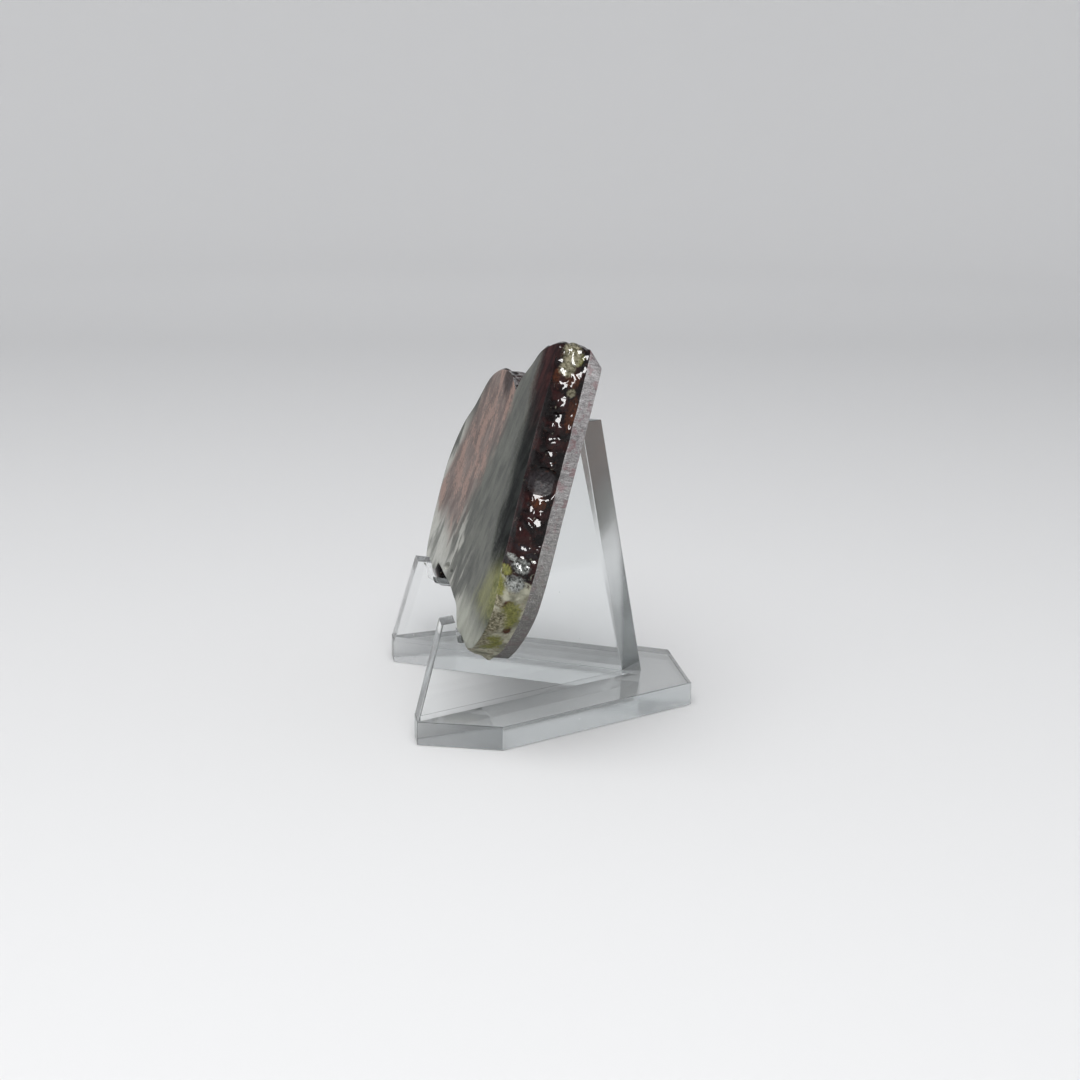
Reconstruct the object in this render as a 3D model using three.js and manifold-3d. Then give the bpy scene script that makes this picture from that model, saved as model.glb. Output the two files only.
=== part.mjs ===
// A polished slice of native copper in grey-green rock, standing on a clear acrylic easel.
// Millimetres, +Z up, the polished face looks towards -Y. The origin is on the table, under the middle.
import * as THREE from 'three';
import { mergeVertices } from 'three/addons/utils/BufferGeometryUtils.js';
import Module from 'manifold-3d';

// Easel, cut from one sheet and glued
const sheet = 4.5;
const glueGap = 0.3;
const spread = THREE.MathUtils.degToRad(29);
const easelDepth = 55.2;
const tipX = 28.55;
const backCornerX = 11.1;
const wingX = 33.35;
const wingY = 15.3;
const uprightTop = 56.3;
const uprightBackFootY = 47;
const uprightBackTopY = 37;
const lipFrontY = 4.8;
const lipRearY = 7.5;
const lipTop = 22;
const notchFrontY = 7.8;
const notchFloor = 17.8;
const restFootY = 18;

// Slice
const lean = THREE.MathUtils.degToRad(13.5);
const thickness = 8.6;
const restGap = 0.3;
const offCentre = -0.52;
const boxShift = 1.54;
const rimStep = 1.3;

// The rim of the slice, anticlockwise as seen from the front, starting at the top near corner. Each row
// is the front cut edge (x, z), the back cut edge (x, z) and how far the rind bulges out between them.
const rim = [
  [43.9, 57.7, 42.6, 56.0, 0.6],
  [36.4, 55.8, 36.0, 55.6, 1.5],
  [29.8, 53.2, 30.2, 53.4, 1.3],
  [24.0, 49.2, 24.6, 49.8, 1.0],
  [17.2, 46.3, 17.8, 47.0, 0.8],
  [13.7, 43.2, 14.3, 43.6, 0.3],
  [10.6, 44.6, 10.2, 44.0, 0.6],
  [6.4, 46.1, 6.0, 45.4, 1.1],
  [-1.6, 45.7, -1.8, 45.2, 1.3],
  [-9.2, 44.2, -9.4, 43.8, 1.2],
  [-18.0, 40.8, -18.4, 40.2, 1.3],
  [-27.4, 33.6, -27.8, 33.0, 1.5],
  [-35.4, 28.6, -35.6, 28.0, 1.4],
  [-41.4, 23.0, -41.2, 22.4, 1.2],
  [-45.2, 17.2, -44.6, 16.8, 1.0],
  [-46.2, 11.6, -45.4, 11.4, 0.9],
  [-46.3, 5.0, -45.6, 5.0, 0.8],
  [-45.2, -0.4, -44.6, -0.2, 0.9],
  [-42.4, -3.4, -41.8, -3.0, 1.2],
  [-37.6, -3.0, -37.0, -3.0, 1.5],
  [-31.4, -2.2, -30.8, -3.0, 1.7],
  [-28.2, -1.6, -27.6, -2.6, 1.2],
  [-25.8, 0.0, -25.2, 0.1, 0],
  [-22.0, 0.4, -21.0, 0.5, 0],
  [-14.0, 0.6, -14.0, 0.2, 0.2],
  [-6.5, 1.0, -6.6, 0.9, 0.4],
  [1.6, 0.7, 1.6, 1.0, 0.4],
  [8.0, 0.2, 8.0, 0.6, 0.3],
  [14.4, -2.2, 13.6, 0.3, 0],
  [22.0, -1.6, 21.6, 0.2, 0],
  [24.2, -1.8, 23.6, -0.8, 0.1],
  [26.4, -1.9, 25.6, -2.3, 1.2],
  [29.4, -1.5, 28.6, -1.2, 1.0],
  [33.4, -0.3, 33.0, 1.4, 0.8],
  [38.8, 3.0, 38.0, 5.2, 0.9],
  [42.6, 8.6, 41.8, 10.0, 0.9],
  [43.2, 13.4, 43.0, 14.0, 1.0],
  [41.6, 16.0, 43.4, 18.0, 1.3],
  [42.8, 20.4, 43.4, 22.0, 1.2],
  [41.4, 26.6, 43.2, 27.0, 1.3],
  [42.6, 34.0, 43.3, 34.0, 0.9],
  [41.8, 41.0, 43.4, 41.0, 1.3],
  [42.8, 48.6, 43.6, 48.6, 1.1],
];

// Where the rind's rings lie between the front and back cut faces, and the bulge at each
const rindRings = [
  [0, 0],
  [0.05, 0.45],
  [0.15, 0.8],
  [0.27, 1],
  [0.39, 1],
  [0.51, 0.9],
  [0.6, 0.8],
];
const sawnBandStart = 0.69;
const sawnBandBulge = 0.7;

// Lumps and hollows of the rind: x, depth, z, radius and height (a hollow's is negative)
const nearLumps = [
  [44, 3.4, 54.0, 3.0, 0.7],
  [43, 2.2, 49.2, 2.6, 0.8],
  [44, 4.2, 47.0, 2.4, 0.6],
  [43, 2.6, 43.6, 2.8, 0.8],
  [44, 4.4, 41.0, 2.4, 0.6],
  [43, 2.4, 38.2, 2.6, 0.7],
  [44, 3.4, 33.6, 4.4, -0.9],
  [43, 2.4, 29.0, 2.8, 0.7],
  [44, 4.2, 26.4, 2.6, 0.7],
  [43, 2.6, 22.8, 2.6, 0.7],
  [44, 3.4, 18.0, 3.2, 0.9],
  [43, 3.0, 12.6, 3.4, 0.6],
  [40, 3.4, 6.4, 4.0, 0.5],
];

// Small cavities open in the polished face near its far foot: x, depth, z and half sizes
const cavities = [
  [-13.3, 0.1, 2.7, 3.0, 1.3, 0.9],
];

const wasm = await Module();
wasm.setup();

function toSolid(geometry) {
  const bare = geometry.index ? geometry.toNonIndexed() : geometry.clone();
  bare.deleteAttribute('normal');
  bare.deleteAttribute('uv');
  const merged = mergeVertices(bare, 1e-5);
  return new wasm.Manifold(new wasm.Mesh({
    numProp: 3,
    vertProperties: new Float32Array(merged.attributes.position.array),
    triVerts: new Uint32Array(merged.index.array),
  }));
}

function toGeometry(solid) {
  const { vertProperties, triVerts } = solid.getMesh();
  const geometry = new THREE.BufferGeometry();
  geometry.setAttribute('position', new THREE.BufferAttribute(new Float32Array(vertProperties), 3));
  geometry.setIndex(new THREE.BufferAttribute(new Uint32Array(triVerts), 1));
  geometry.computeVertexNormals();
  return geometry;
}

function shapeOf(points) {
  return new THREE.Shape(points.map(([u, v]) => new THREE.Vector2(u, v)));
}

// Base plate: a chevron whose open V follows the inner faces of the uprights
const footWidth = sheet / Math.cos(spread);
const innerTipX = tipX - footWidth;
const innerApexY = innerTipX / Math.tan(spread);

function makeBasePlate() {
  const half = [[innerTipX, 0], [tipX, 0], [wingX, wingY], [backCornerX, easelDepth]];
  const mirrored = half.map(([x, y]) => [-x, y]).reverse();
  return new THREE.ExtrudeGeometry(shapeOf([...half, ...mirrored, [0, innerApexY]]),
    { depth: sheet, bevelEnabled: false });
}

// Upright: its side outline, cut straight through along X, limited to the slanted sheet
function makeUpright(side) {
  const foot = sheet + glueGap;
  const outerX = (y) => tipX - y * Math.tan(spread);
  const plan = [
    [tipX, 0],
    [outerX(uprightBackFootY), uprightBackFootY],
    [glueGap / 2, uprightBackFootY],
    [glueGap / 2, innerApexY - glueGap],
    [innerTipX, 0],
  ];
  const sheetBody = new THREE.ExtrudeGeometry(
    shapeOf(plan.map(([x, y]) => [side * x, y])), { depth: uprightTop + sheet, bevelEnabled: false });

  const restTopY = restFootY + (uprightTop - notchFloor) * Math.tan(lean);
  const profile = [
    [0, foot],
    [uprightBackFootY, foot],
    [uprightBackTopY, uprightTop],
    [restTopY, uprightTop],
    [restFootY, notchFloor],
    [notchFrontY + 0.7, notchFloor],
    [notchFrontY + 0.2, notchFloor + 0.2],
    [notchFrontY, notchFloor + 0.7],
    [lipRearY, lipTop],
    [lipFrontY, lipTop],
  ];
  const cut = new THREE.ExtrudeGeometry(shapeOf(profile), { depth: 2 * wingX, bevelEnabled: false });
  // The outline is drawn in X and Y: turn it so that it stands in Y and Z and runs along X
  cut.rotateX(Math.PI / 2);
  cut.rotateZ(Math.PI / 2);
  cut.translate(-wingX, 0, 0);
  return toGeometry(toSolid(sheetBody).intersect(toSolid(cut)));
}

// Slice: in its own frame x runs along it, y is the depth behind the polished face and z runs up it,
// with z = 0 at the level where its back edge stands on the notch floors
function lumpAt(x, y, z) {
  let height = 0;
  for (const [cx, cy, cz, radius, rise] of nearLumps) {
    const d = Math.hypot(x - cx, y - cy, z - cz) / radius;
    if (d < 1) height += rise * (1 - d * d);
  }
  // Gentler natural waviness everywhere else on the rind
  const wave = Math.sin(x * 0.55 + z * 0.31 + 1.3) + Math.sin(z * 0.62 - x * 0.27 + y * 0.9);
  return height + 0.16 * wave;
}

function rimLoop() {
  const asCurve = (ix, iz) => new THREE.CatmullRomCurve3(
    rim.map((row) => new THREE.Vector3(row[ix], 0, row[iz])), true, 'centripetal');
  const front = asCurve(0, 1);
  const back = asCurve(2, 3);
  const loop = [];
  rim.forEach((row, i) => {
    const next = rim[(i + 1) % rim.length];
    const steps = Math.max(2, Math.round(Math.hypot(next[0] - row[0], next[1] - row[1]) / rimStep));
    for (let k = 0; k < steps; k++) {
      const f = k / steps;
      const t = (i + f) / rim.length;
      const bulge = row[4] + (next[4] - row[4]) * f;
      loop.push({ front: front.getPoint(t), back: back.getPoint(t), bulge });
    }
  });
  return loop;
}

function makeSlice() {
  const loop = rimLoop();
  const count = loop.length;
  const points = [];
  const addRing = (share, swell, lumpiness, waviness) => {
    const middle = loop.map(({ front, back }) => front.clone().lerp(back, share));
    middle.forEach((p, i) => {
      const before = middle[(i + count - 1) % count];
      const after = middle[(i + 1) % count];
      const out = new THREE.Vector3(after.z - before.z, 0, before.x - after.x).normalize();
      const y = thickness * (share + waviness * Math.sin(i * 0.9) + waviness * Math.sin(i * 0.37));
      const reach = loop[i].bulge * swell + lumpiness * lumpAt(p.x, y, p.z);
      points.push(p.x + out.x * reach, y, p.z + out.z * reach);
    });
  };
  for (const [share, swell] of rindRings) addRing(share, swell, swell, 0);
  // A narrow flat band, sawn along the back edge, has a wavy border where it runs out into the rind
  addRing(sawnBandStart, sawnBandBulge, 0, 0.025);
  addRing(1, 0, 0, 0);

  const rings = rindRings.length + 2;
  const faces = [];
  for (let r = 0; r < rings - 1; r++) {
    for (let i = 0; i < count; i++) {
      const j = (i + 1) % count;
      const a = r * count + i;
      const b = r * count + j;
      faces.push(a, a + count, b, b, a + count, b + count);
    }
  }
  const flat = (start) => Array.from({ length: count }, (_, i) =>
    new THREE.Vector2(points[3 * (start + i)], points[3 * (start + i) + 2]));
  const last = (rings - 1) * count;
  for (const [a, b, c] of THREE.ShapeUtils.triangulateShape(flat(0), [])) faces.push(a, b, c);
  for (const [a, b, c] of THREE.ShapeUtils.triangulateShape(flat(last), [])) {
    faces.push(last + a, last + c, last + b);
  }
  const geometry = new THREE.BufferGeometry();
  geometry.setAttribute('position', new THREE.Float32BufferAttribute(points, 3));
  geometry.setIndex(faces);

  let solid = toSolid(geometry);
  for (const [x, y, z, halfX, halfY, halfZ] of cavities) {
    const pit = new THREE.IcosahedronGeometry(1, 1);
    pit.scale(halfX, halfY, halfZ);
    pit.translate(x, y, z);
    solid = solid.subtract(toSolid(pit));
  }
  return toGeometry(solid);
}

function piece(name, geometry, material) {
  const mesh = new THREE.Mesh(geometry, material);
  mesh.name = name;
  return mesh;
}

const acrylic = { color: 0xe9eef0, roughness: 0.05, metalness: 0, transparent: true, opacity: 0.35 };
const stone = new THREE.MeshStandardMaterial({ color: 0x8a8a7e, roughness: 0.35, metalness: 0.1 });

const easel = new THREE.Group();
easel.add(piece('base_plate', makeBasePlate(), new THREE.MeshStandardMaterial(acrylic)));
easel.add(piece('right_upright', makeUpright(1), new THREE.MeshStandardMaterial(acrylic)));
easel.add(piece('left_upright', makeUpright(-1), new THREE.MeshStandardMaterial(acrylic)));

const slice = piece('copper_slice', makeSlice(), stone);
slice.rotation.x = -lean;
const seatY = restFootY + restGap * Math.tan(lean) - restGap / Math.cos(lean);
slice.position.set(offCentre,
  seatY - thickness * Math.cos(lean),
  notchFloor + restGap + thickness * Math.sin(lean));
easel.add(slice);

// The slice's far foot reaches further out than its near end, so the easel stands off the box's middle
easel.position.set(boxShift, -easelDepth / 2, 0);

const object = new THREE.Group();
object.add(easel);

export default object;
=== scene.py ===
"""A polished slice of native copper in grey-green rock, standing on a clear acrylic easel."""
import math

import bmesh
import bpy
import numpy as np
from mathutils import Matrix, Vector, noise
from mathutils.geometry import delaunay_2d_cdt


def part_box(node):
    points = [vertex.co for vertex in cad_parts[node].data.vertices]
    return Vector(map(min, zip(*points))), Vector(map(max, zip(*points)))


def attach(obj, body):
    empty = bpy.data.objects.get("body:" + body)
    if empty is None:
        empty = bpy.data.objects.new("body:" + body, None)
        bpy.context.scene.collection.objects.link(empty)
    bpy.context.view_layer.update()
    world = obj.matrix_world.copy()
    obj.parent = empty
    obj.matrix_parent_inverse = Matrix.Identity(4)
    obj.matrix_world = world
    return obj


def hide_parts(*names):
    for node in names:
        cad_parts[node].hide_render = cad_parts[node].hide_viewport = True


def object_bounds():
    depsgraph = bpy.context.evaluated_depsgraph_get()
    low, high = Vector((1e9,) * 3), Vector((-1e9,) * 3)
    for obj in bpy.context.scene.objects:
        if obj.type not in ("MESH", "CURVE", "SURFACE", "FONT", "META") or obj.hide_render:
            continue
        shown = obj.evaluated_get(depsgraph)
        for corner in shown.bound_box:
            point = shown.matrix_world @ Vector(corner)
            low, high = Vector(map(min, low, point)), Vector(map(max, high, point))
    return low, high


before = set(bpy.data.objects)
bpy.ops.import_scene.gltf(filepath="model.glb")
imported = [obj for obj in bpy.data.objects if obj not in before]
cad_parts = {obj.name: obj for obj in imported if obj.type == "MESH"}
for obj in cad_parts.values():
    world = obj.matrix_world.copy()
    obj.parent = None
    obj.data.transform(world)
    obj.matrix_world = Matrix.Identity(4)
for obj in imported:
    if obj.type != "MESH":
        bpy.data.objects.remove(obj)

cad_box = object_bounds()

# Camera
# The viewer stands off the near end of the slice, a little above it, and looks almost along the
# polished face. The place and turn come from the straight edges of the easel in the photograph.
camera_place = (0.40595, -0.06213, 0.13332)
camera_heading = math.radians(81.3842)
camera_dip = math.radians(14.0346)
camera_roll = math.radians(0.6429)
camera_lens = 72.14

forward = Vector((-math.sin(camera_heading) * math.cos(camera_dip),
                  math.cos(camera_heading) * math.cos(camera_dip),
                  -math.sin(camera_dip)))
level = Vector((math.cos(camera_heading), math.sin(camera_heading), 0))
upward = level.cross(forward)
right = level * math.cos(camera_roll) + upward * math.sin(camera_roll)
upward = upward * math.cos(camera_roll) - level * math.sin(camera_roll)
turn = Matrix((right, upward, -forward)).transposed().to_4x4()
camera = bpy.data.objects.new("camera", bpy.data.cameras.new("camera"))
camera.data.lens = camera_lens
camera.data.sensor_width = 36
camera.data.clip_start = 0.01
camera.matrix_world = Matrix.Translation(camera_place) @ turn
bpy.context.scene.collection.objects.link(camera)
bpy.context.scene.camera = camera

# Clear easel
# Three pieces laser cut from one sheet of clear cast acrylic: a chevron that lies flat and two uprights
# that stand on it in a V. They are joined with solvent, which melts the faces into one clear body.
mm = 0.001
sheet = 4.5 * mm
weld_depth = 0.4 * mm
upright_setback = 0.05 * mm
spread = math.radians(29)
easel_depth = 55.2 * mm
tip_x = 28.55 * mm
back_corner_x = 11.1 * mm
wing = (33.35 * mm, 15.3 * mm)
upright_top = 56.3 * mm
lip_front = 4.8 * mm
lip_rear = 7.5 * mm
lip_top = 22 * mm
notch_front = 7.8 * mm
notch_floor = 17.8 * mm
rest_foot = 18 * mm
back_foot = 47 * mm
back_top = 37 * mm
lean = math.radians(13.5)
edge_round = 0.1 * mm
sharpest_left = math.radians(20)
notch_corner = 0.7 * mm
upright_gap = 0.04 * mm
rear_slant = 4.7 * mm

box_low, box_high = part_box("base_plate")
easel_middle = (box_low.x + box_high.x) / 2
easel_front = box_low.y
inner_tip_x = tip_x - sheet / math.cos(spread)
apex_y = inner_tip_x / math.tan(spread)


def mesh_object(name, points, faces, materials=()):
    """A piece in the scene with this mesh."""
    mesh = bpy.data.meshes.new(name)
    mesh.from_pydata([tuple(p) for p in points], [], [tuple(f) for f in faces])
    for material in materials:
        mesh.materials.append(material)
    mesh.validate()
    made = bpy.data.objects.new(name, mesh)
    bpy.context.scene.collection.objects.link(made)
    return made


def baked(piece):
    """The piece with its modifiers made part of its mesh."""
    bpy.context.view_layer.update()
    graph = bpy.context.evaluated_depsgraph_get()
    mesh = bpy.data.meshes.new_from_object(piece.evaluated_get(graph))
    piece.modifiers.clear()
    old = piece.data
    piece.data = mesh
    bpy.data.meshes.remove(old)
    return piece


def prism(name, low_ring, high_ring):
    """A closed body between two rings of points that match one to one."""
    count = len(low_ring)
    sides = [(i, (i + 1) % count, count + (i + 1) % count, count + i) for i in range(count)]
    ends = [tuple(range(count))[::-1], tuple(range(count, 2 * count))]
    body = mesh_object(name, [*low_ring, *high_ring], sides + ends)
    shell = bmesh.new()
    shell.from_mesh(body.data)
    bmesh.ops.recalc_face_normals(shell, faces=shell.faces)
    shell.to_mesh(body.data)
    shell.free()
    rounding = body.modifiers.new("edge", "BEVEL")
    rounding.width = edge_round
    rounding.segments = 2
    rounding.limit_method = "ANGLE"
    rounding.angle_limit = sharpest_left
    return baked(body)


def base_plate():
    """The flat chevron."""
    half = [(inner_tip_x, 0), (tip_x, 0), wing, (back_corner_x, easel_depth)]
    outline = half + [(-x, y) for x, y in reversed(half)] + [(0, apex_y)]
    low = [(easel_middle + x, easel_front + y, 0) for x, y in outline]
    high = [(x, y, sheet) for x, y, _ in low]
    return prism("chevron", low, high)


def upright(side):
    """One upright, right for side 1 and left for -1: its outline is (distance from the tip, height)."""
    foot = sheet - weld_depth
    rest_top = rest_foot + (upright_top - notch_floor) * math.tan(lean)
    rounded = 0.3 * notch_corner
    outline = [
        (0, foot), (back_foot, foot), (back_top, upright_top), (rest_top, upright_top),
        (rest_foot, notch_floor), (notch_front + notch_corner, notch_floor),
        (notch_front + rounded, notch_floor + rounded), (notch_front, notch_floor + notch_corner),
        (lip_rear, lip_top), (lip_front, lip_top),
    ]

    def ring(face_x, shorter):
        points = []
        for y, z in outline:
            if y >= back_top:
                y -= shorter
            x = max(face_x - y * math.tan(spread), upright_gap)
            points.append((easel_middle + side * x, easel_front + y, z))
        return points

    outer = ring(tip_x - upright_setback, 0)
    inner = ring(inner_tip_x + upright_setback, rear_slant)
    return prism("upright", inner, outer)


easel = base_plate()
easel.name = "clear_easel"
for side in (1, -1):
    leg = upright(side)
    weld = easel.modifiers.new("weld", "BOOLEAN")
    weld.operation = "UNION"
    weld.solver = "EXACT"
    weld.object = leg
    baked(easel)
    bpy.data.objects.remove(leg)

# The cut edges, 1 in this layer, are a little duller than the faces of the sheet
nearly = 0.002
plate_top = sheet + 0.01 * mm
edge_layer = easel.data.attributes.new("cut_edge", "FLOAT", "FACE")
for face, cut in zip(easel.data.polygons, edge_layer.data):
    in_plate = face.center.z < plate_top
    level_face = abs(face.normal.z) > 1 - nearly
    spread_face = abs(abs(face.normal.x) - math.cos(spread)) < nearly and abs(face.normal.z) < nearly
    cut.value = 0 if (level_face if in_plate else spread_face) else 1


def new_material(name):
    """A material with its tree of nodes and its surface shader."""
    made = bpy.data.materials.new(name)
    made.use_nodes = True
    return made, made.node_tree, made.node_tree.nodes["Principled BSDF"]


def node(tree, kind, sockets, **settings):
    """A node whose sockets are set to plain values or joined to the outputs of other nodes."""
    made = tree.nodes.new("ShaderNode" + kind)
    for key, value in settings.items():
        setattr(made, key, value)
    for key, value in sockets.items():
        if isinstance(value, bpy.types.NodeSocket):
            tree.links.new(value, made.inputs[key])
        else:
            made.inputs[key].default_value = value
    return made


def cloud(tree, place, scale, detail=4, roughness=0.5, distortion=0):
    """Soft random blotches, from 0 to 1 round a half; scale is their number in a unit of place."""
    sockets = {"Vector": place, "Scale": scale, "Detail": detail, "Roughness": roughness,
               "Distortion": distortion}
    return node(tree, "TexNoise", sockets).outputs["Fac"]


def between(tree, value, low, high, start=0, end=1):
    """Start below low, end above high, with a soft step between them."""
    return node(tree, "MapRange", {0: value, 1: low, 2: high, 3: start, 4: end},
                interpolation_type="SMOOTHSTEP").outputs[0]


def sums(tree, operation, first, second):
    """One step of arithmetic on two values."""
    return node(tree, "Math", {0: first, 1: second}, operation=operation).outputs[0]


def tint(tree, share, first, second):
    """First colour where share is 0, second where it is 1."""
    colours = [c if isinstance(c, bpy.types.NodeSocket) else (*c, 1) for c in (first, second)]
    return node(tree, "Mix", {0: share, 6: colours[0], 7: colours[1]}, data_type="RGBA").outputs[2]


def clear_acrylic():
    """Clear cast acrylic, a little smeared by hands, with specks of dust and duller cut edges."""
    material, tree, shader = new_material("clear acrylic")
    place = node(tree, "TexCoord", {}).outputs["Object"]
    handling = cloud(tree, place, 60, 3)
    shader.inputs["Base Color"].default_value = (0.985, 0.99, 0.99, 1)
    shader.inputs["IOR"].default_value = 1.49
    shader.inputs["Transmission Weight"].default_value = 1
    handled = between(tree, handling, 0.55, 0.8, 0.01, 0.09)
    cut = node(tree, "Attribute", {}, attribute_name="cut_edge").outputs["Fac"]
    dull = sums(tree, "MULTIPLY", cut, between(tree, cloud(tree, place, 400, 3), 0.3, 0.7, 0.20, 0.25))
    dust = between(tree, cloud(tree, place, 900, 1), 0.80, 0.83, 0, 0.4)
    soiled = sums(tree, "MAXIMUM", handled, dust)
    tree.links.new(sums(tree, "MAXIMUM", soiled, dull), shader.inputs["Roughness"])
    ripple = cloud(tree, place, 35, 2)
    relief = node(tree, "Bump", {"Height": ripple, "Strength": 0.02, "Distance": 0.5 * mm})
    tree.links.new(relief.outputs[0], shader.inputs["Normal"])
    body = node(tree, "VolumeAbsorption", {"Color": (0.84, 0.90, 0.91, 1), "Density": 24.0})
    tree.links.new(body.outputs[0], tree.nodes["Material Output"].inputs["Volume"])
    return material


easel.data.materials.clear()
easel.data.materials.append(clear_acrylic())
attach(easel, "root")
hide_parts("base_plate", "right_upright", "left_upright")

# Copper slice
# One slab of rock with native copper in it, sawn on both broad faces. The front is ground and polished,
# the rim keeps the natural rind, partly under clear lacquer, and a saw has cut a narrow band behind it.
thickness = 8.6 * mm
slice_x = 1.02 * mm
rest_gap = 0.3 * mm
seat_y = rest_foot + rest_gap * math.tan(lean) - rest_gap / math.cos(lean)
slice_origin = np.array((slice_x,
                         easel_front + seat_y - thickness * math.cos(lean),
                         notch_floor + rest_gap + thickness * math.sin(lean)))
slice_depth = np.array((0, math.cos(lean), -math.sin(lean)))
slice_up = np.array((0, math.sin(lean), math.cos(lean)))

# Front cut edge (x, z), back cut edge (x, z) and bulge of the rind between them, in millimetres on the
# slab, anticlockwise as seen from the front, from the top near corner
rim = [
    (44.2, 57.9, 42.9, 57.4, 0.6), (42.0, 57.6, 40.8, 57.0, 1.0), (36.4, 56.3, 36.0, 55.2, 1.3),
    (29.8, 54.3, 30.2, 53.2, 1.2), (24.0, 50.9, 24.6, 49.8, 1.0), (17.6, 47.3, 17.8, 47.2, 0.5),
    (14.0, 44.4, 14.3, 44.0, 0), (11.0, 45.0, 10.6, 44.2, -0.6), (6.4, 45.9, 6.0, 45.0, -0.7),
    (-1.6, 45.5, -1.8, 45.0, -0.1), (-9.2, 44.0, -9.4, 43.8, 0.7), (-18.0, 40.6, -18.4, 40.2, 1.3),
    (-27.4, 33.6, -27.8, 33.0, 1.5), (-35.4, 28.6, -35.6, 28.0, 1.4), (-41.4, 23.0, -41.2, 22.4, 1.2),
    (-45.2, 17.2, -44.6, 16.8, 1.0), (-46.2, 11.6, -45.4, 11.4, 0.9), (-46.3, 5.0, -45.6, 5.0, 0.8),
    (-45.2, -0.4, -44.6, -0.2, 0.9), (-42.4, -3.4, -41.8, -3.0, 1.2), (-37.6, -3.0, -37.0, -3.0, 1.5),
    (-31.4, -2.2, -30.8, -3.0, 1.7), (-28.2, -1.6, -27.6, -2.6, 1.2), (-25.8, 0.0, -25.2, 0.1, 0),
    (-22.0, 0.4, -21.0, 0.5, 0), (-14.0, 0.6, -14.0, 0.2, 0.2), (-6.5, 1.0, -6.6, 0.9, 0.4),
    (1.6, 0.7, 1.6, 1.0, 0.4), (8.0, 0.2, 8.0, 0.6, 0.3), (14.4, -2.2, 13.6, 0.3, 0),
    (22.0, -1.8, 21.6, 0.2, 0), (24.4, -1.8, 23.8, -0.8, 0.1), (26.8, -1.7, 25.8, -3.0, 0.3),
    (30.6, -1.0, 28.6, -1.8, 0.5), (34.6, 0.2, 33.0, 1.0, 0.9), (38.4, 3.4, 38.0, 5.2, 0.9),
    (41.0, 8.6, 41.8, 10.0, 0.9), (40.6, 13.4, 43.0, 14.0, 1.0), (39.4, 17.0, 43.4, 18.0, 1.3),
    (40.0, 21.4, 43.4, 22.0, 1.2), (39.6, 27.6, 43.2, 27.0, 1.3), (39.8, 34.0, 43.3, 34.0, 0.9),
    (39.8, 41.0, 43.4, 41.0, 1.3), (41.6, 49.0, 43.6, 48.6, 1.1), (43.4, 54.4, 43.5, 53.4, 0.9),
]
# Share of the thickness, how full the bulge is there, and how far the rim has gone over to the back edge
rind_profile = [(0, 0), (0.05, 0.45), (0.15, 0.8), (0.27, 1), (0.39, 1), (0.51, 0.9), (0.69, 0.7), (1, 0)]
rind_lead = [(0, 0), (0.04, 0.3), (0.12, 0.72), (0.25, 0.95), (0.4, 1), (1, 1)]
band_start = 0.69
near_step = 0.19
far_step = 0.36
near_step_x = 28
near_end_x = 34
face_grid = 1.0
rind_steps = 32
band_steps = 8
crease_angle = math.radians(42)


def closed_curve(points, shares):
    """Centripetal Catmull-Rom through the points, at places counted in points from the first."""
    points = np.array(points, float)
    count = len(points)
    out = []
    for share in shares:
        i = int(share) % count
        f = share - int(share)
        p = [points[(i + k) % count] for k in (-1, 0, 1, 2)]
        t = [0]
        for a, b in zip(p, p[1:]):
            t.append(t[-1] + max(np.linalg.norm(b - a), 1e-6) ** 0.5)
        s = t[1] + f * (t[2] - t[1])
        a1 = ((t[1] - s) * p[0] + (s - t[0]) * p[1]) / (t[1] - t[0])
        a2 = ((t[2] - s) * p[1] + (s - t[1]) * p[2]) / (t[2] - t[1])
        a3 = ((t[3] - s) * p[2] + (s - t[2]) * p[3]) / (t[3] - t[2])
        b1 = ((t[2] - s) * a1 + (s - t[0]) * a2) / (t[2] - t[0])
        b2 = ((t[3] - s) * a2 + (s - t[1]) * a3) / (t[3] - t[1])
        out.append(((t[2] - s) * b1 + (s - t[1]) * b2) / (t[2] - t[1]))
    return np.array(out)


def rim_shares():
    """Places along the rim, counted in rows, closer together at the near end."""
    shares = []
    for i, row in enumerate(rim):
        after = rim[(i + 1) % len(rim)]
        rim_step = near_step if min(row[0], after[0]) > near_step_x else far_step
        steps = max(2, round(math.hypot(after[0] - row[0], after[1] - row[1]) / rim_step))
        shares += [i + k / steps for k in range(steps)]
    return np.array(shares)


shares = rim_shares()
front_edge = closed_curve([r[:2] for r in rim], shares)
back_edge = closed_curve([r[2:4] for r in rim], shares)
whole = np.floor(shares).astype(int)
bulge_rows = np.array([r[4] for r in rim])
bulge = bulge_rows[whole] + (bulge_rows[(whole + 1) % len(rim)] - bulge_rows[whole]) * (shares - whole)
columns = len(shares)


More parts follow.
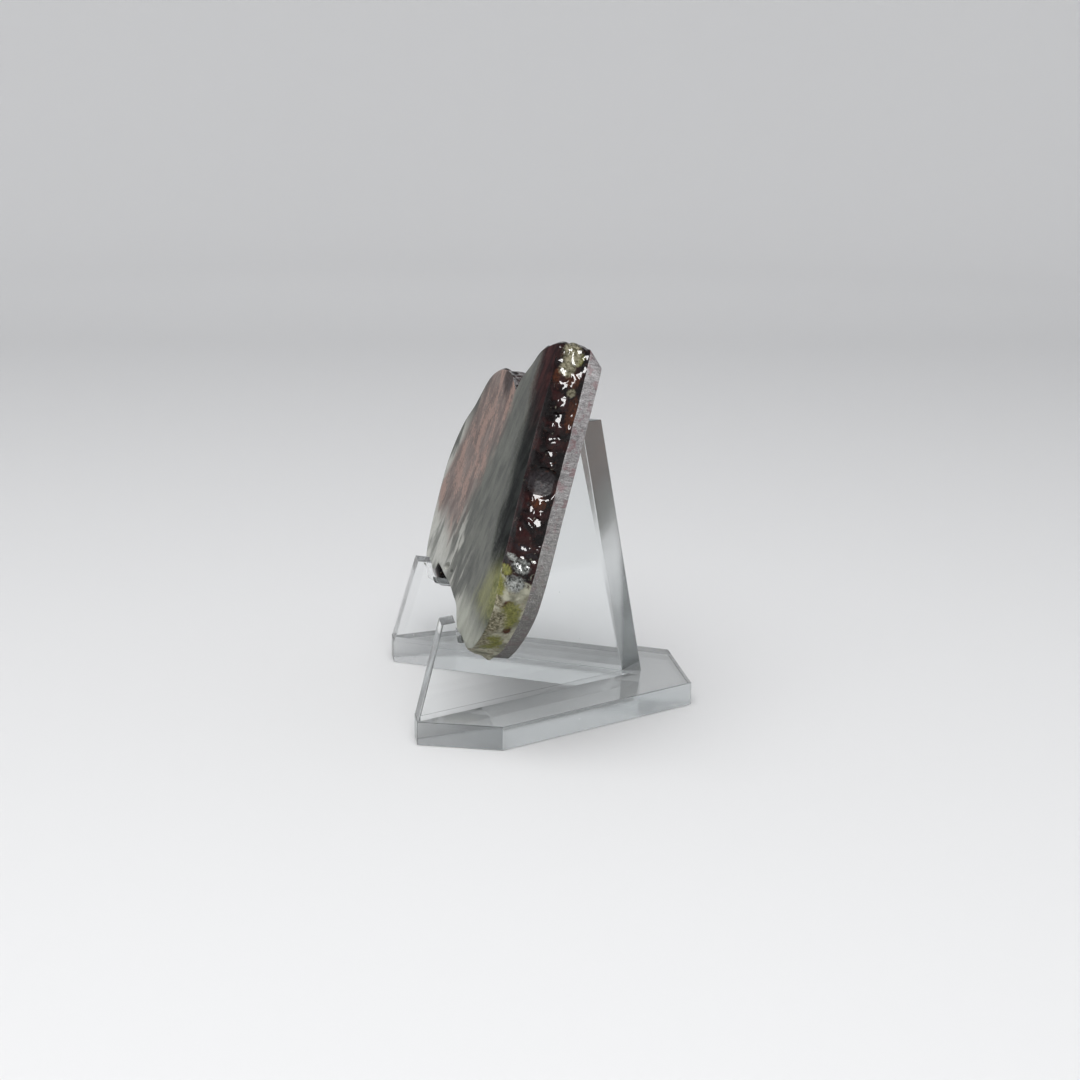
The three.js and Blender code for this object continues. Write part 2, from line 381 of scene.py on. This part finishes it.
# Lumps of the lacquered near end: depth, z, reach across and along, rise and slant, in millimetres
near_lumps = [
    (3.6, 55.0, 2.2, 1.6, 0.4, 0), (3.7, 50.8, 1.7, 1.3, 0.55, 0), (2.1, 50.0, 1.0, 1.0, 0.4, 0),
    (3.0, 47.2, 1.3, 1.0, 0.5, 0), (1.4, 46.6, 1.0, 1.0, 0.45, 0), (4.5, 43.2, 1.5, 1.4, 0.6, -0.4),
    (1.8, 43.9, 1.0, 0.9, 0.4, 0), (2.8, 40.6, 1.9, 1.1, 0.65, 0.6), (3.9, 37.1, 1.0, 0.8, 0.4, 0),
    (1.0, 29.6, 1.0, 1.2, 0.45, 0), (4.0, 28.2, 1.0, 0.8, 0.4, 0), (2.8, 25.9, 1.8, 1.2, 0.65, -0.75),
    (0.9, 24.8, 0.9, 0.8, 0.35, 0), (1.5, 19.0, 1.5, 0.8, 0.45, -0.7), (3.4, 17.8, 1.3, 1.3, 0.5, 0),
    (2.9, 14.4, 1.6, 1.6, 0.45, 0), (4.6, 9.4, 1.6, 2.4, 0.35, 0), (2.2, 6.4, 2.2, 2.6, 0.3, 0),
]
# Knobs of the rind along the top and at the foot: x, depth, z, radius and rise
knobs = [(30.0, 1.3, 54.8, 2.6, 1.6), (21.0, 1.0, 49.6, 1.8, 1.2), (11.5, 0.9, 44.8, 1.2, 0.35),
         (9.0, 1.6, 44.8, 1.0, 0.3), (26.5, 5.3, -3.3, 1.7, 0.7)]
chip_place = (3.2, 33.8)
chip_reach = (2.9, 2.5)
chip_strike = (0.6, 36.6)
# Where the minerals of the near end show: depth, z and reach across and along, in millimetres
minerals = {
    "pale": [(2.9, 56.6, 2.1, 2.2), (2.5, 54.1, 1.6, 1.6), (0.6, 11.4, 1.6, 1.4), (1.8, 6.8, 2.2, 3.4),
             (0.3, 3.6, 2.0, 1.8), (0.9, 1.6, 2.4, 1.4), (4.2, 50.2, 0.9, 0.9)],
    "green": [(0.3, 13.7, 1.5, 3.2), (1.1, 17.3, 0.9, 1.1), (3.8, 8.8, 2.4, 3.4), (3.0, 1.8, 2.4, 2.6),
              (3.9, 56.2, 1.4, 1.4)],
    "rust": [(3.8, 52.4, 1.7, 1.6), (5.2, 46.6, 1.2, 3.4), (2.8, 11.0, 1.3, 1.1), (4.4, 5.7, 1.0, 1.2),
             (3.4, 30.2, 1.5, 1.5), (1.1, 52.6, 0.7, 1.6)],
    "quartz": [(3.2, 18.7, 1.9, 1.6), (3.0, 15.2, 2.1, 1.8), (1.4, 19.8, 1.0, 0.7)],
    "violet": [(*chip_place, *chip_reach), (2.6, 21.9, 1.8, 0.7), (4.4, 20.8, 1.4, 0.7)],
}


def spot_strength(spots, depth, z):
    """1 in the middle of the nearest spot, 0 outside them all."""
    far = min(math.hypot((depth - d) / across, (z - up) / along) for d, up, across, along in spots)
    return max(0, min(1, 1.7 * (1.1 - far)))


def lacquered(x, depth, z):
    """1 where the rind is dark and lacquered: most of the near end, the top, and under the far end."""
    above = (z - 14 - 0.15 * (44 - x)) / 4
    below_far_end = min((-23 - x) / 4, (4 - z) / 3)
    return float(np.clip(max(above, below_far_end), 0, 1))


# The swirl of the lumps is drawn from this seed, so that they come out the same each run
lump_seed = 1795603464
noise.seed_set(lump_seed)


def from_chip(depth, z):
    """How far a place on the near end is from the middle of the chip, 1 at its edge."""
    return math.hypot((depth - chip_place[0]) / chip_reach[0], (z - chip_place[1]) / chip_reach[1])


def rind_lumps(x, depth, z):
    """How far the rind stands out at a place on the slab, in millimetres."""
    place = Vector((x, depth, z))
    glossy = lacquered(x, depth, z)
    swirl = place + 0.7 * noise.noise_vector(place * 0.6)
    near, second = noise.voronoi(swirl * 0.36)[0][:2]
    height = 0.8 * glossy * (0.3 - near * near) + 0.2 * glossy * min(0.4, second - near)
    height += 0.28 * noise.noise(place * 0.3) + 0.025 * glossy * noise.noise(swirl * 1.3)
    height += (1 - 0.7 * glossy) * 0.15 * noise.fractal(place * 0.8, 1.0, 2.0, 4)
    for kx, kd, kz, radius, rise in knobs:
        far = math.dist((x, depth, z), (kx, kd, kz)) / radius
        if far < 1:
            height += rise * (1 - far * far) ** 1.5
    if x > near_end_x:
        for d, up, across, along, rise, slant in near_lumps:
            far = math.hypot((depth - d) / across, (z - up - slant * (depth - d)) / along)
            if far < 1:
                height += rise * (1 - far * far) ** 1.3
        far = from_chip(depth, z)
        if far < 1.2:
            ripple = 0.035 * math.sin(7 * math.hypot(depth - chip_strike[0], z - chip_strike[1]))
            height += min(1, (1.2 - far) / 0.25) * (ripple - 0.5 - 0.5 * max(0, 1 - far) - height)
    return height


def slab_ring(share, fullness, rough):
    """A ring round the slab at a share of its thickness, with the rind's lumps where rough is over 0."""
    lead = np.interp(share, *zip(*rind_lead))
    middle = front_edge + (back_edge - front_edge) * np.reshape(lead, (-1, 1))
    before = np.roll(middle, 3, axis=0)
    after = np.roll(middle, -3, axis=0)
    out = np.stack([after[:, 1] - before[:, 1], before[:, 0] - after[:, 0]], axis=1)
    out /= np.linalg.norm(out, axis=1, keepdims=True)
    depth = np.broadcast_to(share, (columns,)) * thickness / mm
    ring = []
    for i in range(columns):
        x, z = middle[i]
        reach = bulge[i] * fullness[i]
        if rough:
            reach += rough * rind_lumps(x, depth[i], z)
        ring.append((x + out[i, 0] * reach, depth[i], z + out[i, 1] * reach))
    return np.array(ring)


def fullness_at(share):
    """How full the rind's bulge is at a share of the thickness."""
    return np.interp(np.broadcast_to(share, (columns,)), *zip(*rind_profile))


# The polished face rounds over at its edge, narrowly at the top and broadly at the foot of the near end
foot = np.clip((17 - front_edge[:, 1]) / 8, 0, 1) * np.clip((front_edge[:, 0] - 25) / 6, 0, 1)
near_side = np.clip((front_edge[:, 0] - 36) / 3, 0, 1) * np.clip((55 - front_edge[:, 1]) / 3, 0, 1)
shoulder_width = 0.3 + 1.3 * near_side + 1.4 * foot
shoulder_drop = 0.14 + 0.24 * near_side + 0.3 * foot
shoulder_steps = 5
across = np.roll(front_edge, -3, axis=0) - np.roll(front_edge, 3, axis=0)
outward = np.stack([across[:, 1], -across[:, 0]], axis=1) / np.linalg.norm(across, axis=1, keepdims=True)
rings = []
for k in range(shoulder_steps):
    angle = math.pi / 2 * k / shoulder_steps
    edge = front_edge - outward * (shoulder_width * (1 - math.sin(angle)))[:, None]
    drop = shoulder_drop * (1 - math.cos(angle))
    rings.append(np.stack([edge[:, 0], drop, edge[:, 1]], axis=1))

border = np.array([band_start + 0.012 * noise.noise(Vector((x * 0.3, z * 0.3, 7))) for x, z in back_edge])
rind_start = shoulder_drop / (thickness / mm)
for k in range(rind_steps + 1):
    f = k / rind_steps
    share = rind_start + (border - rind_start) * f
    rings.append(slab_ring(share, fullness_at(share), min(1, 6 * f, 8 * (1 - f) + 0.15)))
rind_edge = rings[-1]
corner_drop = 2.1
for k in range(1, band_steps + 1):
    f = k / band_steps
    share = border + (1 - border) * f
    ring = slab_ring(share, fullness_at(share), 0)
    ring += (rind_edge - slab_ring(border, fullness_at(border), 0)) * (1 - f)
    ring[:, 2] -= corner_drop * f * np.clip((ring[:, 2] - 54) / 2.5, 0, 1)
    for i in range(columns):
        x, _, z = ring[i]
        ridge = 0.1 * noise.noise(Vector((x * 0.9, 0, z * 0.9)))
        ridge += 0.05 * noise.noise(Vector((x * 2.3, 4, z * 2.3)))
        ring[i, ::2] += outward[i] * ridge * math.sin(math.pi * min(1, f + 0.3))
    rings.append(ring)


# Two hollows in the polished face, where a soft grain has fallen out: x, z, reach, width, depth and slope
hollows = [(-13.4, 2.7, 3.1, 0.75, 1.3, 0.3), (-6.6, 3.3, 2.0, 0.45, 0.35, 0.3)]


def hollow_depth(x, z):
    """How deep the polished face lies at a place, in millimetres."""
    deep = 0
    for hx, hz, reach, width, fall, slope in hollows:
        far = math.hypot((x - hx) / reach, (z - hz - slope * (x - hx)) / width)
        if far < 1:
            deep = max(deep, fall * (1 - far ** 3))
    return deep


def cap(ring, spacing, pits):
    """A face of the slab inside its rim: points on a grid and round the hollows, joined to the rim."""
    outline = [Vector((x, z)) for x, _, z in ring]
    low = ring.min(0)
    high = ring.max(0)
    inner = []
    for x in np.arange(low[0] + spacing, high[0], spacing):
        for z in np.arange(low[2] + spacing, high[2], spacing):
            clear = True
            for hx, hz, reach, width, *_ in pits:
                clear = clear and (abs(x - hx) > reach + 0.5 or abs(z - hz) > width + 1.6)
            if clear:
                inner.append(Vector((x, z)))
    for hx, hz, reach, width, _, slope in pits:
        for share in (0, 0.25, 0.5, 0.7, 0.85, 0.95, 1, 1.12):
            count = max(1, round(40 * share))
            for k in range(count):
                angle = 2 * math.pi * k / count
                x = hx + reach * share * math.cos(angle)
                inner.append(Vector((x, hz + slope * (x - hx) + width * share * math.sin(angle))))
    edge = [(i, (i + 1) % len(outline)) for i in range(len(outline))]
    flat, _, tiles, sources, _, _ = delaunay_2d_cdt(outline + inner, edge, [], 1, 1e-6)
    return flat, tiles, sources


face_kind, wet_kind, dry_kind, band_kind, back_kind = range(5)
wet_limit = 0.4


def skin_kind(x, depth, z):
    """Lacquered rind, or bare rind where it is low down or chipped."""
    chipped = x > near_end_x and from_chip(depth, z) < 1
    return wet_kind if lacquered(x, depth, z) > wet_limit and not chipped else dry_kind


points = np.concatenate(rings)
faces = []
kinds = []
for r in range(len(rings) - 1):
    for i in range(columns):
        j = (i + 1) % columns
        a = r * columns + i
        b = r * columns + j
        faces.append((a, a + columns, b + columns, b))
        if r < shoulder_steps:
            kinds.append(face_kind)
        elif r < shoulder_steps + rind_steps:
            kinds.append(skin_kind(*points[a]))
        else:
            kinds.append(band_kind)

points = [tuple(p) for p in points]
for which, kind in ((0, face_kind), (len(rings) - 1, back_kind)):
    flat, tiles, sources = cap(rings[which], face_grid, hollows if kind == face_kind else [])
    numbers = []
    for place, source in zip(flat, sources):
        if source and min(source) < columns:
            numbers.append(which * columns + min(source))
            continue
        numbers.append(len(points))
        depth = hollow_depth(*place) if kind == face_kind else thickness / mm
        points.append((place.x, depth, place.y))
    for tile in tiles:
        corners = [numbers[k] for k in tile]
        faces.append(tuple(corners if kind == face_kind else reversed(corners)))
        kinds.append(kind)

local = np.array(points) * mm
world = (slice_origin + local[:, :1] * np.array((1, 0, 0)) + local[:, 1:2] * slice_depth
         + local[:, 2:] * slice_up)
box_margin = 0.02 * mm
world = np.clip(world, np.array(cad_box[0]) + box_margin, np.array(cad_box[1]) - box_margin)


def slab_place(tree):
    """The place on the slab in millimetres: along it, behind its polished face, and up it."""
    x, y, z = -slice_origin / mm
    turned = (x, y * math.cos(lean) - z * math.sin(lean), y * math.sin(lean) + z * math.cos(lean))
    return node(tree, "Mapping", {"Vector": node(tree, "TexCoord", {}).outputs["Object"],
                                  "Location": turned, "Rotation": (lean, 0, 0),
                                  "Scale": (1 / mm, 1 / mm, 1 / mm)}).outputs[0]


def weighted(tree, *pairs):
    """The sum of each value times its weight; one without a weight is added as it is."""
    terms = [sums(tree, "MULTIPLY", *pair) if isinstance(pair, tuple) else pair for pair in pairs]
    total = terms[0]
    for term in terms[1:]:
        total = sums(tree, "ADD", total, term)
    return total


def product(tree, *values):
    """All the values multiplied."""
    total = values[0]
    for value in values[1:]:
        total = sums(tree, "MULTIPLY", total, value)
    return total


def rock_colours(tree, place):
    """The cut rock: grey-green, veined along its fabric, with copper in its upper far part.

    Gives its colour, the share of bare metal, its grain and the share of the dark rock at the near end.
    """
    axes = node(tree, "SeparateXYZ", {0: place}).outputs
    x, z = axes[0], axes[2]
    turned = node(tree, "Mapping", {"Vector": place, "Rotation": (0, math.radians(-36.9), 0)}).outputs[0]
    drawn = node(tree, "VectorMath", {0: turned, 1: (0.32, 0.34, 0.11)}, operation="MULTIPLY").outputs[0]
    veins = cloud(tree, drawn, 1.0, 6, 0.6, 0.5)
    clumps = cloud(tree, place, 0.15, 4)
    grain = cloud(tree, place, 1.5, 6, 0.7)
    dendrites = cloud(tree, place, 1.3, 7, 0.7)
    bands = cloud(tree, drawn, 0.7, 4, 0.5, 0.3)
    rock = tint(tree, between(tree, veins, 0.34, 0.66), (0.052, 0.055, 0.050), (0.112, 0.117, 0.102))
    rock = tint(tree, between(tree, grain, 0.50, 0.66, 0, 0.5), rock, (0.18, 0.185, 0.165))

    pale_field = weighted(tree, (x, -0.6), (z, -1), (clumps, 16), -8)
    pale = between(tree, pale_field, -4, 14)
    streaks = tint(tree, between(tree, weighted(tree, (bands, 1), (grain, 0.25), -0.125), 0.36, 0.60),
                   (0.15, 0.155, 0.14), (0.50, 0.50, 0.465))
    rock = tint(tree, pale, rock, streaks)
    milky_field = weighted(tree, (x, -0.5), (z, -1))
    milky = product(tree, between(tree, bands, 0.50, 0.62), between(tree, milky_field, -22, -6))
    rock = tint(tree, milky, rock, (0.34, 0.34, 0.31))
    low_field = weighted(tree, (z, -1), (clumps, 8), -4)
    low = product(tree, between(tree, low_field, -8, 0), between(tree, x, 6, 18))
    rock = tint(tree, low, rock, tint(tree, veins, (0.15, 0.155, 0.13), (0.42, 0.43, 0.37)))

    upper = between(tree, weighted(tree, (z, 0.95), (x, -1), (clumps, 14), -31), -6, 5)
    above = between(tree, weighted(tree, (z, 1), (clumps, 8), -4), 5, 13)
    inside = between(tree, weighted(tree, (x, 1), (z, -1), (veins, 8), 55), -1, 4)
    far_side = between(tree, weighted(tree, (x, 1), (veins, 8), -4), 17, 12)
    copper_zone = product(tree, upper, above, inside, far_side)
    ruddy = tint(tree, between(tree, veins, 0.36, 0.64), (0.105, 0.076, 0.068), (0.19, 0.152, 0.137))
    rock = tint(tree, copper_zone, rock, ruddy)
    blobs = cloud(tree, place, 0.13, 3, 0.5)
    clots = weighted(tree, (dendrites, 0.75), (veins, 0.3), (blobs, 0.9), -0.475)
    metal = product(tree, copper_zone, between(tree, clots, 0.48, 0.62, 0, 0.8))
    rock = tint(tree, metal, rock, tint(tree, between(tree, grain, 0.35, 0.65), (0.28, 0.165, 0.125),
                                        (0.50, 0.33, 0.27)))

    ragged = weighted(tree, (veins, 9), (grain, 7), (bands, 8), -12)
    olive_field = weighted(tree, (x, 0.9), (z, -1), (clumps, 10), (ragged, 0.8), -5)
    off_edge = between(tree, weighted(tree, (z, 1), (ragged, 0.5)), 4, 9)
    olive = product(tree, between(tree, olive_field, 13, 20), off_edge)
    mottle = between(tree, weighted(tree, (grain, 0.5), (veins, 0.5)), 0.38, 0.62)
    rock = tint(tree, olive, rock, tint(tree, mottle, (0.070, 0.076, 0.03), (0.195, 0.195, 0.095)))
    dark_field = weighted(tree, (x, 1), (clumps, 7), ragged, -3.5)
    height = weighted(tree, (z, 1), ragged)
    dark = product(tree, between(tree, dark_field, 27, 36), between(tree, height, 14, 21))
    black = tint(tree, between(tree, veins, 0.4, 0.62), (0.008, 0.009, 0.009), (0.022, 0.024, 0.023))
    maroon = tint(tree, between(tree, veins, 0.4, 0.62), (0.014, 0.006, 0.007), (0.045, 0.016, 0.016))
    rock = tint(tree, dark, rock, tint(tree, between(tree, height, 38, 50), black, maroon))
    from_spot = node(tree, "VectorMath", {0: place, 1: (5, 0, 46)}, operation="DISTANCE").outputs["Value"]
    brown_field = weighted(tree, (from_spot, 1), (clumps, 6), (ragged, 0.4), -3)
    rock = tint(tree, between(tree, brown_field, 6.5, 3), rock, (0.035, 0.02, 0.018))
    speck = between(tree, cloud(tree, place, 3.2, 3, 0.7), 0.62, 0.70)
    rock = tint(tree, sums(tree, "MULTIPLY", speck, 0.5), rock, (0.03, 0.032, 0.03))
    return rock, metal, grain, dark


def polished_face():
    """The front, ground and polished to a satin shine, duller on the dark rock."""
    material, tree, shader = new_material("polished copper rock")
    place = slab_place(tree)
    rock, metal, grain, dark = rock_colours(tree, place)
    tree.links.new(rock, shader.inputs["Base Color"])
    tree.links.new(sums(tree, "MULTIPLY", metal, 0.85), shader.inputs["Metallic"])
    satin = weighted(tree, between(tree, grain, 0.3, 0.7, 0.40, 0.55), (dark, 0.4))
    tree.links.new(satin, shader.inputs["Roughness"])
    shader.inputs["Specular IOR Level"].default_value = 0.08
    relief = node(tree, "Bump", {"Height": grain, "Strength": 0.25, "Distance": 0.05 * mm})
    tree.links.new(relief.outputs[0], shader.inputs["Normal"])
    return material


def sawn_back():
    """The back, left as a round blade sawed it."""
    material, tree, shader = new_material("sawn back")
    place = slab_place(tree)
    rock, metal, grain, _ = rock_colours(tree, place)
    dusty = tint(tree, 0.25, rock, (0.34, 0.33, 0.30))
    tree.links.new(dusty, shader.inputs["Base Color"])
    tree.links.new(sums(tree, "MULTIPLY", metal, 0.6), shader.inputs["Metallic"])
    shader.inputs["Roughness"].default_value = 0.58
    blade = node(tree, "VectorMath", {0: place, 1: (70, 0, 95)}, operation="DISTANCE").outputs["Value"]
    wander = cloud(tree, place, 0.2, 2)
    kerf = sums(tree, "SINE", weighted(tree, (blade, 5.2), (wander, 3)), 0)
    height = weighted(tree, (kerf, 0.35), (grain, 1))
    relief = node(tree, "Bump", {"Height": height, "Strength": 0.5, "Distance": 0.08 * mm})
    tree.links.new(relief.outputs[0], shader.inputs["Normal"])
    return material


def rind_skin(name, lacquer):
    """The natural skin of the rock, with its minerals; the lacquer is one clear coat over it."""
    material, tree, shader = new_material(name)
    place = slab_place(tree)
    flow = cloud(tree, place, 0.4, 3)
    fine = cloud(tree, place, 2.0, 6, 0.68)
    torn = cloud(tree, place, 0.75, 3, 0.55, 0.8)
    crystals = node(tree, "TexVoronoi", {"Vector": place, "Scale": 2.6, "Randomness": 1})
    cells = node(tree, "SeparateColor", {0: crystals.outputs["Color"]}).outputs[0]
    gaps = crystals.outputs["Distance"]

    def patch(mineral):
        here = node(tree, "Attribute", {}, attribute_name=mineral).outputs["Fac"]
        ragged = between(tree, weighted(tree, (here, 1), (fine, 1.2), (torn, 1.2), -1.2), 0.05, 0.95)
        return product(tree, ragged, between(tree, here, 0.02, 0.2))

    wet = node(tree, "Attribute", {}, attribute_name="wet").outputs["Fac"]
    dark = tint(tree, between(tree, flow, 0.42, 0.66), (0.0025, 0.0010, 0.0012), (0.020, 0.005, 0.005))
    bare = tint(tree, between(tree, flow, 0.36, 0.62), (0.15, 0.15, 0.11), (0.34, 0.335, 0.26))
    bare = tint(tree, between(tree, torn, 0.50, 0.70), bare, (0.20, 0.165, 0.115))
    colour = tint(tree, between(tree, weighted(tree, (wet, 1), (torn, 2.2), -1.1), 0.2, 0.7), bare, dark)
    facets = weighted(tree, (cells, 0.3), (fine, 1.0), -0.15)
    layers = [("violet", (0.007, 0.005, 0.006), (0.020, 0.015, 0.018), fine),
              ("rust", (0.012, 0.004, 0.003), (0.070, 0.021, 0.008), fine),
              ("green", (0.055, 0.058, 0.016), (0.21, 0.21, 0.060), fine),
              ("quartz", (0.025, 0.028, 0.025), (0.29, 0.30, 0.285), facets),
              ("pale", (0.05, 0.045, 0.022), (0.27, 0.25, 0.175), facets)]
    for mineral, deep, light, by in layers:
        shade = tint(tree, between(tree, by, 0.25, 0.75), deep, light)
        colour = tint(tree, patch(mineral), colour, shade)
    stain = between(tree, cloud(tree, place, 1.1, 4, 0.6), 0.60, 0.70)
    colour = tint(tree, sums(tree, "MULTIPLY", stain, 0.6), colour, (0.05, 0.016, 0.008))
    tree.links.new(colour, shader.inputs["Base Color"])
    shader.inputs["Specular IOR Level"].default_value = 0.02 if lacquer else 0.12
    tree.links.new(between(tree, fine, 0.3, 0.7, 0.48, 0.7), shader.inputs["Roughness"])
    height = sums(tree, "ADD", fine, product(tree, gaps, 0.8))
    relief = node(tree, "Bump", {"Height": height, "Strength": 0.5, "Distance": 0.14 * mm})
    tree.links.new(relief.outputs[0], shader.inputs["Normal"])
    if lacquer:
        shader.inputs["Coat Weight"].default_value = 1
        shader.inputs["Coat Roughness"].default_value = 0.03
        shader.inputs["Coat IOR"].default_value = 1.24
        skin = node(tree, "Bump", {"Height": cloud(tree, place, 0.7, 1), "Strength": 0.35,
                                   "Distance": 0.2 * mm})
        tree.links.new(skin.outputs[0], shader.inputs["Coat Normal"])
    return material


def sawn_band():
    """The saw's narrow band: torn grey stone with ridges across it."""
    material, tree, shader = new_material("sawn band")
    place = slab_place(tree)
    drawn = node(tree, "VectorMath", {0: place, 1: (1, 0.05, 1)}, operation="MULTIPLY").outputs[0]
    ridges = cloud(tree, drawn, 2.9, 4, 0.7)
    fine = cloud(tree, place, 5.0, 3, 0.7)
    blotch = cloud(tree, place, 0.55, 4, 0.6)
    up = node(tree, "SeparateXYZ", {0: place}).outputs[2]
    light = tint(tree, between(tree, up, 8, 48), (0.105, 0.105, 0.09), (0.215, 0.20, 0.205))
    colour = tint(tree, between(tree, ridges, 0.38, 0.60), (0.075, 0.07, 0.07), light)
    colour = tint(tree, between(tree, fine, 0.56, 0.66), colour, (0.36, 0.345, 0.345))
    colour = tint(tree, between(tree, fine, 0.44, 0.36), colour, (0.03, 0.026, 0.026))
    maroon = product(tree, between(tree, blotch, 0.50, 0.62), between(tree, up, 20, 34, 0.25, 0.75))
    colour = tint(tree, maroon, colour, (0.10, 0.028, 0.034))
    tree.links.new(colour, shader.inputs["Base Color"])
    shader.inputs["Roughness"].default_value = 0.5
    height = sums(tree, "ADD", ridges, product(tree, fine, 0.5))
    relief = node(tree, "Bump", {"Height": height, "Strength": 0.7, "Distance": 0.2 * mm})
    tree.links.new(relief.outputs[0], shader.inputs["Normal"])
    return material


stone_materials = [polished_face(), rind_skin("lacquered rind", True), rind_skin("bare rind", False),
                   sawn_band(), sawn_back()]
copper_slice = mesh_object("polished_slice", world, faces, stone_materials)
copper_slice.data.polygons.foreach_set("material_index", kinds)
copper_slice.data.polygons.foreach_set("use_smooth", [True] * len(kinds))
copper_slice.data.set_sharp_from_angle(angle=crease_angle)
wet_layer = copper_slice.data.attributes.new("wet", "FLOAT", "POINT")
wet_layer.data.foreach_set("value", [lacquered(*place) for place in points])
minerals_from_x = 27
for mineral, spots in minerals.items():
    layer = copper_slice.data.attributes.new(mineral, "FLOAT", "POINT")
    shown = [spot_strength(spots, d, z) if x > minerals_from_x else 0 for x, d, z in points]
    layer.data.foreach_set("value", shown)
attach(copper_slice, "root")
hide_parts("copper_slice")

# Table and backdrop
# One plain pale sheet of card. It lies flat under the easel and curves up into a wall all round, so that
# no line shows between the two.
flat_reach = 0.7
curve = 0.35
wall_top = 1.2
sides = 96
turns = np.linspace(0.05, math.pi / 2, 24)
bowl = [(0, 0), (flat_reach, 0)]
bowl += [(flat_reach + curve * math.sin(a), curve - curve * math.cos(a)) for a in turns]
bowl += [(flat_reach + curve, wall_top)]
paper_points = [(0, 0, 0)]
for r, z in bowl[1:]:
    paper_points += [(r * math.cos(2 * math.pi * k / sides), r * math.sin(2 * math.pi * k / sides), z)
                     for k in range(sides)]
paper_faces = [(0, 1 + k, 1 + (k + 1) % sides) for k in range(sides)]
for r in range(len(bowl) - 2):
    for k in range(sides):
        a = 1 + r * sides + k
        b = 1 + r * sides + (k + 1) % sides
        paper_faces.append((a, a + sides, b + sides, b))
paper_drop = 0.1 * mm
paper = mesh_object("table", [(x, y, z - paper_drop) for x, y, z in paper_points], paper_faces)
paper.data.polygons.foreach_set("use_smooth", [True] * len(paper_faces))
card, _, card_shader = new_material("pale table")
card_shader.inputs["Base Color"].default_value = (0.78, 0.78, 0.78, 1)
card_shader.inputs["Roughness"].default_value = 0.7
paper.data.materials.append(card)

# Light
# A wide soft light above, a smaller one that draws the glints on the lacquered rind, a wash on
# the wall behind, and an even sky.


def lamp(name, place, target, size, power):
    """A soft rectangular lamp that faces its target."""
    light = bpy.data.lights.new(name, "AREA")
    light.shape = "RECTANGLE"
    light.size, light.size_y = size
    light.energy = power
    made = bpy.data.objects.new(name, light)
    made.location = place
    made.rotation_mode = "QUATERNION"
    made.rotation_quaternion = (Vector(target) - Vector(place)).to_track_quat("-Z", "Y")
    bpy.context.scene.collection.objects.link(made)
    return made


overhead = lamp("overhead", (0.33, -0.12, 0.62), (0.05, 0, 0), (0.7, 0.7), 5.0)
overhead.visible_glossy = False
glint = lamp("glint", (0.55, 0.12, 0.33), (0.04, 0, 0.05), (0.26, 0.44), 24)
glint.visible_diffuse = False
wash = lamp("wall wash", (-0.5, -0.05, 0.32), (-1.05, 0, 0.24), (1.1, 0.1), 0.55)
wash.visible_glossy = False
on_the_stone = bpy.data.collections.new("on the stone")
on_the_stone.objects.link(copper_slice)
glint.light_linking.receiver_collection = on_the_stone
sky = bpy.data.worlds.new("sky")
sky.use_nodes = True
sky.node_tree.nodes["Background"].inputs["Color"].default_value = (0.93, 0.95, 1, 1)
sky.node_tree.nodes["Background"].inputs["Strength"].default_value = 0.42
bpy.context.scene.world = sky
bpy.context.scene.view_settings.view_transform = "Standard"
